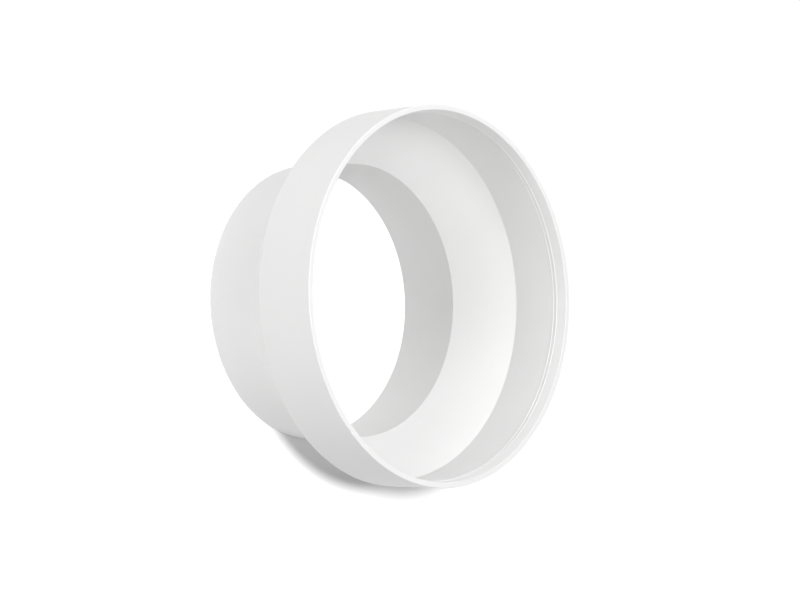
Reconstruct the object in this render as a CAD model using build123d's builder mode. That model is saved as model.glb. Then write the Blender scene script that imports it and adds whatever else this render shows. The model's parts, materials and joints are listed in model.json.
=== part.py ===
from build123d import *
import os
from math import atan2, radians, sin, tan

# Round duct reducer, moulded in one piece from white plastic.
# The wide socket slips over one duct, the plain spigot slips into a smaller one, and the cone
# between them narrows the way through. It stands on the end of its spigot, mouth up.
# Millimetres, Z up along the duct, origin at the centre of the spigot's end.

# Socket, the wide end, which takes a 125 mm duct
socket_bore_d = 125.4
socket_depth = 23.25

# Mouth of the socket: a band that flares by a few degrees, down to the first bead
mouth_band = 3.9
mouth_flare = 5.0

# Two fine beads round the inside of the mouth, with sides at a slant, which hold the duct
bead_height = 0.18
bead_base = 0.5
bead_pitch = 1.5
bead_slant = 45.0

# Cone between the two ends, measured along the axis on its inner face
cone_length = 18.05

# Spigot, the narrow end, which goes into a 100 mm duct
spigot_od = 98.2
spigot_length = 24.4
spigot_wall = 1.45
bore_draft = 0.7

# Wall of the mouth and of the cone, the cone's measured square to its face
wall = 1.9

# Rounded and bevelled edges
mouth_round = 0.3
end_chamfer = 0.3
throat_chamfer = 0.25
shoulder_round = 0.6
root_round = 1.2

# Most of a wall's thickness that an edge at its end may take
edge_share = 0.45

# Heights of the inner face, from the spigot's end up to the rim of the mouth
throat_z = spigot_length
socket_floor_z = throat_z + cone_length
rim_z = socket_floor_z + socket_depth
flare_z = rim_z - mouth_band
upper_bead_z = flare_z - bead_base / 2
lower_bead_z = upper_bead_z - bead_pitch

# Radii of the inner face, whose drafted bore widens from the spigot's end up to the throat
bore_end_r = spigot_od / 2 - spigot_wall
throat_r = bore_end_r + spigot_length * tan(radians(bore_draft))
socket_r = socket_bore_d / 2
mouth_r = socket_r + mouth_band * tan(radians(mouth_flare))

# Outer face, whose cone is the inner one moved out square to itself by the wall
spigot_r = spigot_od / 2
outer_r = mouth_r + wall
cone_angle = atan2(socket_r - throat_r, cone_length)
cone_drop = wall / sin(cone_angle)
root_z = throat_z - cone_drop + (spigot_r - throat_r) / tan(cone_angle)
shoulder_z = throat_z - cone_drop + (outer_r - throat_r) / tan(cone_angle)

with BuildPart() as reducer_body:
    with BuildSketch(Plane.XZ) as section:
        with BuildLine():
            Polyline(
                (bore_end_r, 0),
                (throat_r, throat_z),
                (socket_r, socket_floor_z),
                (socket_r, flare_z),
                (mouth_r, rim_z),
                (outer_r, rim_z),
                (outer_r, shoulder_z),
                (spigot_r, root_z),
                (spigot_r, 0),
                close=True,
            )
        make_face()
        fillet(section.vertices().group_by(Axis.Y)[-1], min(mouth_round, edge_share * wall))
        chamfer(section.vertices().group_by(Axis.Y)[0], min(end_chamfer, edge_share * spigot_wall))
        chamfer(section.vertices().sort_by_distance((throat_r, throat_z))[0], throat_chamfer)
        fillet(section.vertices().sort_by_distance((outer_r, shoulder_z))[0], shoulder_round)
        fillet(section.vertices().sort_by_distance((spigot_r, root_z))[0], root_round)
        with Locations((socket_r, upper_bead_z), (socket_r, lower_bead_z)):
            Trapezoid(bead_base, bead_height, bead_slant, rotation=90, align=(Align.CENTER, Align.MIN))
    revolve(axis=Axis.Z)

reducer_body.part.label = "reducer_body"

os.makedirs("parts", exist_ok=True)
export_step(reducer_body.part, "parts/reducer_body.step")
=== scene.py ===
# %% [markdown]
# # A round duct reducer, moulded in white plastic
# A duct reducer joins a wide ventilation duct to a narrower one. This one is a single moulding: a
# wide socket, a short cone and a narrow spigot, all round about one axis. The lesson loads the
# finished CAD model as a fixed frame, turns a finer copy of its wall on a lathe, gives it a satin
# white plastic, and sets it on its spigot on a white studio floor. All is in metres, with Z up.

# %% Load the fixed frame
import json
import math
from collections import namedtuple

import bmesh
import bpy
from mathutils import Matrix, Vector


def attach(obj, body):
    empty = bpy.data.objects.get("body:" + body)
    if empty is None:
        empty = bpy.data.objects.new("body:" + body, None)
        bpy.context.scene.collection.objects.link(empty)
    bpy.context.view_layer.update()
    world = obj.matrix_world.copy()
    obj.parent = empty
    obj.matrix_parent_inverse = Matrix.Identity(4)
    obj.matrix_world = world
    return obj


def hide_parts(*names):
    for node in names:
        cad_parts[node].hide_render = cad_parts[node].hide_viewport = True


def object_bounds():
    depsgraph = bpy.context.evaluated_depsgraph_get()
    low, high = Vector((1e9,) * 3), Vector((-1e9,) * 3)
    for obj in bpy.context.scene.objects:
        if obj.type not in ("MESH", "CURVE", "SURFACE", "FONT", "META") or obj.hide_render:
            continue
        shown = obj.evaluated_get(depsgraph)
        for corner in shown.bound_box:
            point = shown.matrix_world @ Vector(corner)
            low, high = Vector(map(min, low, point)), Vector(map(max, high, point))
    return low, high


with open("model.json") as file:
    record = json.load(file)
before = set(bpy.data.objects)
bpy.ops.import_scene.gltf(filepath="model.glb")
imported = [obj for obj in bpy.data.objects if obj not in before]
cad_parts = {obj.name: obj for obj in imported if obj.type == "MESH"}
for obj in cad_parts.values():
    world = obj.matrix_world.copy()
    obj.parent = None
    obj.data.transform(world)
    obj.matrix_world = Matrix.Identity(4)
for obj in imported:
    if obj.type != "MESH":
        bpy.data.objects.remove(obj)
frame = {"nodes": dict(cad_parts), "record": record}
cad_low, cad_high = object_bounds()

print("CAD nodes:", sorted(frame["nodes"]))
print("CAD box in metres:", [round(size, 4) for size in cad_high - cad_low])

# %% [markdown]
# ## The sizes of the wall
# A body of revolution is known by its section, the outline of the wall on one side of the axis.
# The frame gives what the part has to fit: the bore of the socket, the outside of the spigot and
# the height of the rim. The sizes below are the other ones that a mould maker would ask for.

# %% Sizes from the frame and from the mould
MM = 0.001
mounts = {mount["name"]: mount for mount in frame["record"]["mounts"]}
socket_r = mounts["large_socket"]["dims"]["r_mm"] * MM
spigot_r = mounts["small_spigot"]["dims"]["r_mm"] * MM
foot_z = cad_low.z
rim_z = cad_high.z

socket_depth = 23.25 * MM
cone_length = 18.05 * MM
wall = 1.9 * MM
spigot_wall = 1.45 * MM
bore_draft = math.radians(0.7)

mouth_band = 3.9 * MM
mouth_flare = math.radians(5.0)
bead_height = 0.18 * MM
bead_base = 0.5 * MM
bead_pitch = 1.5 * MM

print(f"socket bore {2 * socket_r / MM:.1f} mm, spigot {2 * spigot_r / MM:.1f} mm across")

# %% [markdown]
# ## The corners of the section
# Each corner of the outline has a radius from the axis, a height, the size of the rounding that the
# mould leaves on it, and the number of faces across that rounding. The inner face comes first, from
# the spigot's end up to the rim: a bore with a slight draft, the cone, the plain socket, two fine
# beads with 45 degree sides that hold the duct, and a mouth that flares a little. The outer face
# then comes down again, and its cone is the inner one moved out square to itself by the wall, so
# that the wall stays even round both bends.

# %% Work out the corners
Corner = namedtuple("Corner", "radius height rounding segments")

end_round = 0.3 * MM
throat_round = 0.25 * MM
cone_start_round = 0.15 * MM
bead_round = 0.05 * MM
mouth_round = 0.3 * MM
shoulder_round = 0.6 * MM
root_round = 1.2 * MM
TINY_SEGMENTS = 2
FINE_SEGMENTS = 3
FULL_SEGMENTS = 5

socket_floor_z = rim_z - socket_depth
throat_z = socket_floor_z - cone_length
flare_z = rim_z - mouth_band
bore_end_r = spigot_r - spigot_wall
throat_r = bore_end_r + (throat_z - foot_z) * math.tan(bore_draft)
mouth_r = socket_r + mouth_band * math.tan(mouth_flare)
outer_r = mouth_r + wall
cone_angle = math.atan2(socket_r - throat_r, cone_length)


def outer_cone_height(radius):
    """Height of the outer cone where it has this radius."""
    return throat_z - wall / math.sin(cone_angle) + (radius - throat_r) / math.tan(cone_angle)


def bead(top_z):
    """The four corners of one bead, from its foot up to this height."""
    foot = top_z - bead_base
    crest_r = socket_r - bead_height
    return [
        Corner(socket_r, foot, 0.0, 0),
        Corner(crest_r, foot + bead_height, bead_round, TINY_SEGMENTS),
        Corner(crest_r, top_z - bead_height, bead_round, TINY_SEGMENTS),
        Corner(socket_r, top_z, 0.0, 0),
    ]


section = [
    Corner(bore_end_r, foot_z, end_round, FINE_SEGMENTS),
    Corner(throat_r, throat_z, throat_round, FINE_SEGMENTS),
    Corner(socket_r, socket_floor_z, cone_start_round, TINY_SEGMENTS),
    *bead(flare_z - bead_pitch),
    *bead(flare_z),
    Corner(mouth_r, rim_z, mouth_round, FULL_SEGMENTS),
    Corner(outer_r, rim_z, mouth_round, FULL_SEGMENTS),
    Corner(outer_r, outer_cone_height(outer_r), shoulder_round, FULL_SEGMENTS),
    Corner(spigot_r, outer_cone_height(spigot_r), root_round, FULL_SEGMENTS),
    Corner(spigot_r, foot_z, end_round, FINE_SEGMENTS),
]
print(len(section), "corners, rim at", round(2 * outer_r / MM, 1), "mm across")

# %% [markdown]
# ## The lathe
# A cylinder and a cone could be joined with booleans, but a section that is spun round the axis
# gives the whole wall in one step, with clean rings of quads that bevel well. A full spin ends
# where it began, so use_merge welds the last ring to the first. The spin may leave the faces
# pointing inwards, so their normals are worked out again.

# %% Spin the section
TURN_STEPS = 320


def spin_section(corners):
    """A closed solid of revolution about Z, from the corners of its section."""
    shell = bmesh.new()
    points = [shell.verts.new((corner.radius, 0.0, corner.height)) for corner in corners]
    sides = [shell.edges.new((points[i - 1], points[i])) for i in range(len(points))]
    bmesh.ops.spin(
        shell,
        geom=points + sides,
        axis=(0.0, 0.0, 1.0),
        cent=(0.0, 0.0, 0.0),
        angle=2 * math.pi,
        steps=TURN_STEPS,
        use_merge=True,
    )
    bmesh.ops.recalc_face_normals(shell, faces=shell.faces)
    return shell


shell = spin_section(section)
open_edges = [edge for edge in shell.edges if len(edge.link_faces) != 2]
print(len(shell.faces), "faces,", len(open_edges), "open edges")

# %% [markdown]
# ## The rounded edges
# No edge of a moulding is dead sharp, and it is the thin light on these edges that shows where the
# rim is. Each corner of the section is now a ring of edges. A bevel is measured from the edge to
# where the rounding starts, so the radius of the rounding is multiplied by the tangent of half the
# turn that the wall makes there.

# %% Bevel the rings
SAME_PLACE = 0.001 * MM


def turn_at(corners, i):
    """How far the outline turns at this corner, as an angle."""
    before, here, after = (corners[j % len(corners)] for j in (i - 1, i, i + 1))
    way_in = Vector((here.radius - before.radius, here.height - before.height))
    way_out = Vector((after.radius - here.radius, after.height - here.height))
    return way_in.angle(way_out)


def ring_edges(shell, corner):
    """The ring of edges that this corner made."""
    def on_ring(vert):
        off_radius = vert.co.xy.length - corner.radius
        return math.hypot(off_radius, vert.co.z - corner.height) < SAME_PLACE
    return [edge for edge in shell.edges if all(on_ring(vert) for vert in edge.verts)]


for i, corner in enumerate(section):
    if corner.rounding:
        bmesh.ops.bevel(
            shell,
            geom=ring_edges(shell, corner),
            offset=corner.rounding * math.tan(turn_at(section, i) / 2),
            offset_type="OFFSET",
            segments=corner.segments,
            profile=0.5,
            affect="EDGES",
            clamp_overlap=True,
            material=-1,
        )
print(len(shell.faces), "faces after the bevels")

# %% [markdown]
# ## Shading
# The walls are shaded smooth, apart from the few edges that still turn sharply. A long wall beside
# a narrow rounding would take on some of the rounding's slope, so a Weighted Normal modifier lets
# the large faces decide.

# %% Make the object
SHARP_TURN = math.radians(24.0)


def to_object(shell, name):
    """A shell as an object at the origin, with its place in its mesh."""
    for face in shell.faces:
        face.smooth = True
    for edge in shell.edges:
        edge.smooth = edge.calc_face_angle(0.0) < SHARP_TURN
    mesh = bpy.data.meshes.new(name)
    shell.to_mesh(mesh)
    shell.free()
    piece = bpy.data.objects.new(name, mesh)
    bpy.context.scene.collection.objects.link(piece)
    return piece


moulding = to_object(shell, "reducer_moulding")
even_shading = moulding.modifiers.new("even_shading", "WEIGHTED_NORMAL")
even_shading.keep_sharp = True
print(moulding.name, len(moulding.data.polygons), "faces")

# %% [markdown]
# ## White plastic
# The plastic is a neutral white with a satin skin. Its colour is almost even: a broad, very faint
# drift of tone is what the melt leaves as it cools. The skin copies the polish of the mould, which
# is a fine grain, so a fine noise drives the bump, and a coarser one the roughness. All of it reads
# Object coordinates, which are metres here, so the scales are counts per metre.

# %% Build the plastic
PALE_WHITE = (0.86, 0.862, 0.858, 1.0)
CLEAR_WHITE = (0.88, 0.88, 0.877, 1.0)
DRIFT_PER_METRE = 28.0
DRIFT_FROM = 0.3
DRIFT_TO = 0.7
SATIN_LOW = 0.58
SATIN_HIGH = 0.66
POLISH_PER_METRE = 160.0
GRAIN_PER_METRE = 2600.0
GRAIN_HEIGHT = 0.02 * MM
GRAIN_STRENGTH = 0.06
PLASTIC_IOR = 1.5


def noise_field(nodes, links, place, scale, detail):
    """A noise on Object coordinates, with this many cells to the metre."""
    noise = nodes.new("ShaderNodeTexNoise")
    noise.inputs["Scale"].default_value = scale
    noise.inputs["Detail"].default_value = detail
    links.new(place.outputs["Object"], noise.inputs["Vector"])
    return noise


def white_plastic():
    """A satin white moulded plastic."""
    plastic = bpy.data.materials.new("satin_white_plastic")
    plastic.use_nodes = True
    nodes, links = plastic.node_tree.nodes, plastic.node_tree.links
    skin = nodes["Principled BSDF"]
    place = nodes.new("ShaderNodeTexCoord")

    drift = noise_field(nodes, links, place, DRIFT_PER_METRE, detail=2.0)
    tone = nodes.new("ShaderNodeValToRGB")
    tone.color_ramp.elements[0].position = DRIFT_FROM
    tone.color_ramp.elements[0].color = PALE_WHITE
    tone.color_ramp.elements[1].position = DRIFT_TO
    tone.color_ramp.elements[1].color = CLEAR_WHITE
    links.new(drift.outputs["Fac"], tone.inputs["Fac"])
    links.new(tone.outputs["Color"], skin.inputs["Base Color"])

    polish = noise_field(nodes, links, place, POLISH_PER_METRE, detail=3.0)
    satin = nodes.new("ShaderNodeMapRange")
    satin.inputs["To Min"].default_value = SATIN_LOW
    satin.inputs["To Max"].default_value = SATIN_HIGH
    links.new(polish.outputs["Fac"], satin.inputs["Value"])
    links.new(satin.outputs["Result"], skin.inputs["Roughness"])

    grain = noise_field(nodes, links, place, GRAIN_PER_METRE, detail=2.0)
    relief = nodes.new("ShaderNodeBump")
    relief.inputs["Strength"].default_value = GRAIN_STRENGTH
    relief.inputs["Distance"].default_value = GRAIN_HEIGHT
    links.new(grain.outputs["Fac"], relief.inputs["Height"])
    links.new(relief.outputs["Normal"], skin.inputs["Normal"])

    skin.inputs["IOR"].default_value = PLASTIC_IOR
    return plastic


moulding.data.materials.append(white_plastic())
print("material:", moulding.data.materials[0].name)

# %% [markdown]
# ## The floor and the white around it
# The studio floor is a large matt sheet just under the spigot's end. The background is white
# because the floor and the world send white to the camera, through the Light Path node, and not
# because more light falls on the part: the camera sees a paler floor than the part does. The floor
# still takes light and shade from its lamp, so the part keeps its shadow.

# %% Lay the floor
FLOOR_HALF = 6.0
FLOOR_GAP = 0.05 * MM
FLOOR_SEEN = (0.65, 0.65, 0.65, 1.0)
FLOOR_SOFT = (0.48, 0.48, 0.48, 1.0)
FLOOR_LIFT = 0.24


def seen_directly(nodes, links):
    """1 for the rays of the camera, of a mirror and of glass, and 0 for those of soft light."""
    path = nodes.new("ShaderNodeLightPath")
    shiny = nodes.new("ShaderNodeMath")
    shiny.operation = "MAXIMUM"
    links.new(path.outputs["Is Glossy Ray"], shiny.inputs[0])
    links.new(path.outputs["Is Transmission Ray"], shiny.inputs[1])
    seen = nodes.new("ShaderNodeMath")
    seen.operation = "MAXIMUM"
    links.new(path.outputs["Is Camera Ray"], seen.inputs[0])
    links.new(shiny.outputs["Value"], seen.inputs[1])
    return seen.outputs["Value"]


def studio_floor():
    """A matt sheet that looks white to the camera and still shows a shadow."""
    sheet = bpy.data.materials.new("studio_floor")
    sheet.use_nodes = True
    nodes, links = sheet.node_tree.nodes, sheet.node_tree.links
    nodes.remove(nodes["Principled BSDF"])
    seen = seen_directly(nodes, links)
    colour = nodes.new("ShaderNodeMix")
    colour.data_type = "RGBA"
    colour.inputs["A"].default_value = FLOOR_SOFT
    colour.inputs["B"].default_value = FLOOR_SEEN
    matt = nodes.new("ShaderNodeBsdfDiffuse")
    links.new(seen, colour.inputs["Factor"])
    links.new(colour.outputs["Result"], matt.inputs["Color"])
    lift = nodes.new("ShaderNodeMath")
    lift.operation = "MULTIPLY"
    lift.inputs[1].default_value = FLOOR_LIFT
    links.new(seen, lift.inputs[0])
    glow = nodes.new("ShaderNodeEmission")
    links.new(lift.outputs["Value"], glow.inputs["Strength"])
    both = nodes.new("ShaderNodeAddShader")
    links.new(matt.outputs["BSDF"], both.inputs[0])
    links.new(glow.outputs["Emission"], both.inputs[1])
    links.new(both.outputs["Shader"], nodes["Material Output"].inputs["Surface"])
    return sheet


def lay_floor():
    """The floor, as a square sheet under the part."""
    grid = bmesh.new()
    bmesh.ops.create_grid(grid, x_segments=1, y_segments=1, size=FLOOR_HALF)
    bmesh.ops.translate(grid, verts=grid.verts, vec=(0.0, 0.0, foot_z - FLOOR_GAP))
    mesh = bpy.data.meshes.new("studio_floor")
    grid.to_mesh(mesh)
    grid.free()
    mesh.materials.append(studio_floor())
    floor = bpy.data.objects.new("studio_floor", mesh)
    bpy.context.scene.collection.objects.link(floor)
    return floor


floor = lay_floor()
print("floor", 2 * FLOOR_HALF, "m square")

# %% [markdown]
# ## The world
# The world is an even pale sky. The camera sees it as pure white, and the part gets a softer level
# of light from it.

# %% Light the world
SKY_LEVEL = 0.05
WHITE = (1.0, 1.0, 1.0, 1.0)


def studio_world():
    """White to the camera, and a plain soft light for the part."""
    world = bpy.data.worlds.new("studio_world")
    world.use_nodes = True
    nodes, links = world.node_tree.nodes, world.node_tree.links
    soft = nodes["Background"]
    soft.inputs["Color"].default_value = WHITE
    soft.inputs["Strength"].default_value = SKY_LEVEL
    white = nodes.new("ShaderNodeBackground")
    white.inputs["Color"].default_value = WHITE
    white.inputs["Strength"].default_value = 1.0
    choose = nodes.new("ShaderNodeMixShader")
    links.new(seen_directly(nodes, links), choose.inputs["Fac"])
    links.new(soft.outputs["Background"], choose.inputs[1])
    links.new(white.outputs["Background"], choose.inputs[2])
    links.new(choose.outputs["Shader"], nodes["World Output"].inputs["Surface"])
    return world


bpy.context.scene.world = studio_world()
bpy.context.scene.view_settings.view_transform = "Standard"
print("sky level", SKY_LEVEL)

# %% [markdown]
# ## The lamps
# Large soft boxes give the slow gradients that plastic shows in a studio: two high ones for the rim
# and the cone, three at mid height to reach the walls inside the mouth, and low ones all round for
# the outside. Light linking lets each lamp light one thing alone. The soft boxes light the moulding,
# and a small sun lights the floor, so that the shadow keeps one clear direction while the moulding
# has light from all round.

# %% Hang the soft boxes
BOX_DISTANCE = 1.2
BOX_SIZE = 0.5
middle = Vector((0.0, 0.0, (foot_z + rim_z) / 2))


def towards(azimuth, elevation):
    """The direction of a lamp, from the part. Azimuth 0 is in front, at -Y, and 90 is at +X."""
    turn, rise = math.radians(azimuth), math.radians(elevation)
    flat = Vector((math.sin(turn), -math.cos(turn), 0.0))
    return flat * math.cos(rise) + Vector((0.0, 0.0, math.sin(rise)))


def hang(name, lamp, azimuth, elevation, lit):
    """Hang this lamp so that it faces the part, and let it light one object alone."""
    away = towards(azimuth, elevation)
    holder = bpy.data.objects.new(name, lamp)
    holder.location = middle + away * BOX_DISTANCE
    holder.rotation_euler = away.to_track_quat("Z", "Y").to_euler()
    bpy.context.scene.collection.objects.link(holder)
    receivers = bpy.data.collections.new(name + "_lights")
    receivers.objects.link(lit)
    holder.light_linking.receiver_collection = receivers
    return holder


def soft_box(name, azimuth, elevation, watts):
    """A square area lamp for the moulding."""
    lamp = bpy.data.lights.new(name, "AREA")
    lamp.shape = "SQUARE"
    lamp.size = BOX_SIZE
    lamp.energy = watts
    return hang(name, lamp, azimuth, elevation, moulding)


def floor_sun(azimuth, elevation, width, strength):
    """A sun for the floor, whose width in degrees sets how soft the shadow is."""
    lamp = bpy.data.lights.new("floor_sun", "SUN")
    lamp.angle = math.radians(width)
    lamp.energy = strength
    return hang("floor_sun", lamp, azimuth, elevation, floor)


soft_box("top_left_box", -60.0, 78.0, 7.4)
soft_box("front_high_box", 0.0, 68.0, 2.0)
soft_box("left_box", -90.0, 38.0, 3.1)
soft_box("right_front_box", 60.0, 28.0, 2.9)
soft_box("right_back_box", 120.0, 28.0, 0.7)
soft_box("low_left_box", -30.0, 8.0, 5.7)
soft_box("low_right_box", 30.0, 8.0, 1.4)
soft_box("back_left_box", -150.0, 8.0, 2.6)
soft_box("back_right_box", 150.0, 8.0, 2.6)
floor_sun(azimuth=-10.0, elevation=54.0, width=6.0, strength=4.6)
print("lamps:", [item.name for item in bpy.data.lights])

# %% [markdown]
# ## The camera
# The picture looks down into the mouth at 44 degrees, through a long lens. The camera is rolled by
# almost a quarter turn, so the axis of the part runs across the picture, with the mouth to the
# right.

# %% Place the camera
LENS_MM = 96.21
SENSOR_MM = 36.0
VIEW_ELEVATION = math.radians(43.754)
VIEW_ROLL = math.radians(87.212)
VIEW_DISTANCE = 0.73914
aim = Vector((0.00066, 0.0, 0.04329))

lens = bpy.data.cameras.new("camera")
lens.lens = LENS_MM
lens.sensor_width = SENSOR_MM
camera = bpy.data.objects.new("camera", lens)
back = Vector((0.0, -math.cos(VIEW_ELEVATION), math.sin(VIEW_ELEVATION)))
camera.matrix_world = (
    Matrix.Translation(aim + back * VIEW_DISTANCE)
    @ Matrix.Rotation(math.pi / 2 - VIEW_ELEVATION, 4, "X")
    @ Matrix.Rotation(VIEW_ROLL, 4, "Z")
)
bpy.context.scene.collection.objects.link(camera)
bpy.context.scene.camera = camera
print("camera at", [round(x, 3) for x in camera.matrix_world.translation])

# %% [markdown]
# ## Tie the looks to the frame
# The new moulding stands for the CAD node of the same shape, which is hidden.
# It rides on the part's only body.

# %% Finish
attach(moulding, "root")
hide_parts("reducer_body")
